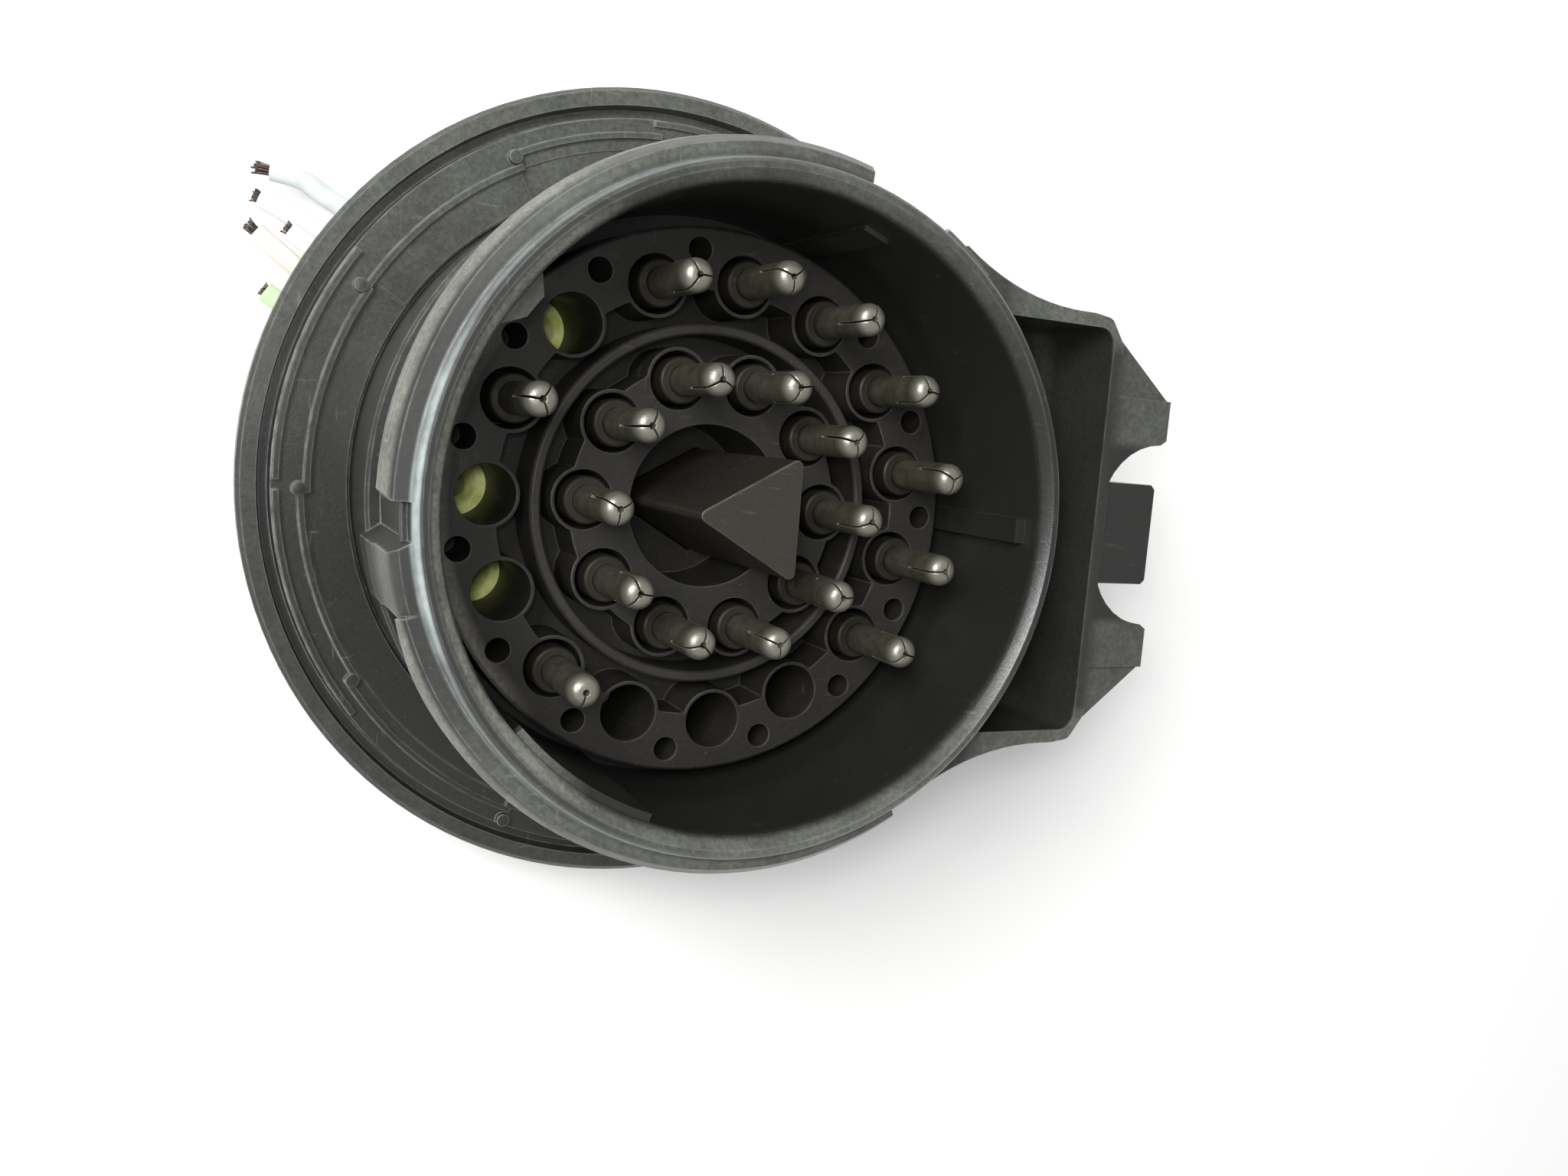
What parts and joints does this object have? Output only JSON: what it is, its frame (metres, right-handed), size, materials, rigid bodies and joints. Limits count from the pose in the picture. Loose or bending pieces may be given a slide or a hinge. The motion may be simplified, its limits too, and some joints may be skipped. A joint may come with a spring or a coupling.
{
  "type": "diagnostic adapter connector",
  "caption": "Round flanged pin connector with a bayonet rim, a triangular key post, a hollow side bracket with prongs, and cut wires.",
  "frame": {"origin": "on the connector's axis, in the plane of the rear rim that it stands on", "axes": "+Z along the axis towards the mating side, +X towards the side bracket"},
  "size_m": [0.0736, 0.0686, 0.0455],
  "materials": {
    "housing_plastic": "moulded, slightly dusty, worn along edges",
    "carrier_plastic": "moulded, satin",
    "key_plastic": "moulded, satin",
    "lock_plastic": "moulded, satin",
    "retainer_plastic": "moulded, satin",
    "contact_metal": "tin-plated, tarnished",
    "seal_rubber": "soft silicone",
    "wire_white": "extruded, satin",
    "wire_blue": "extruded, satin",
    "wire_green": "extruded, satin",
    "wire_brown": "extruded, satin"
  },
  "bodies": {
    "root": {"housing": "housing_plastic", "rear_shell": "housing_plastic", "contact_carrier": "carrier_plastic", "key_post": "key_plastic", "lock_ring": "lock_plastic", "rear_seal": "seal_rubber", "seal_retainer": "retainer_plastic", "pin_01": "contact_metal", "pin_02": "contact_metal", "pin_03": "contact_metal", "pin_04": "contact_metal", "pin_05": "contact_metal", "pin_06": "contact_metal", "pin_07": "contact_metal", "pin_08": "contact_metal", "pin_09": "contact_metal", "pin_10": "contact_metal", "pin_11": "contact_metal", "pin_12": "contact_metal", "pin_13": "contact_metal", "pin_14": "contact_metal", "pin_15": "contact_metal", "pin_16": "contact_metal", "pin_17": "contact_metal", "pin_18": "contact_metal", "pin_19": "contact_metal", "wire_01": "wire_blue", "wire_02": "wire_white", "wire_03": "wire_white", "wire_04": "wire_brown", "wire_05": "wire_green", "wire_06": "wire_white", "wire_07": "wire_white", "wire_08": "wire_white", "wire_09": "wire_white", "wire_10": "wire_white", "wire_11": "wire_white", "wire_12": "wire_white", "wire_13": "wire_white", "wire_14": "wire_white", "wire_15": "wire_white", "wire_16": "wire_white", "wire_17": "wire_white", "wire_18": "wire_white", "wire_19": "wire_white"}
  },
  "joints": []
}
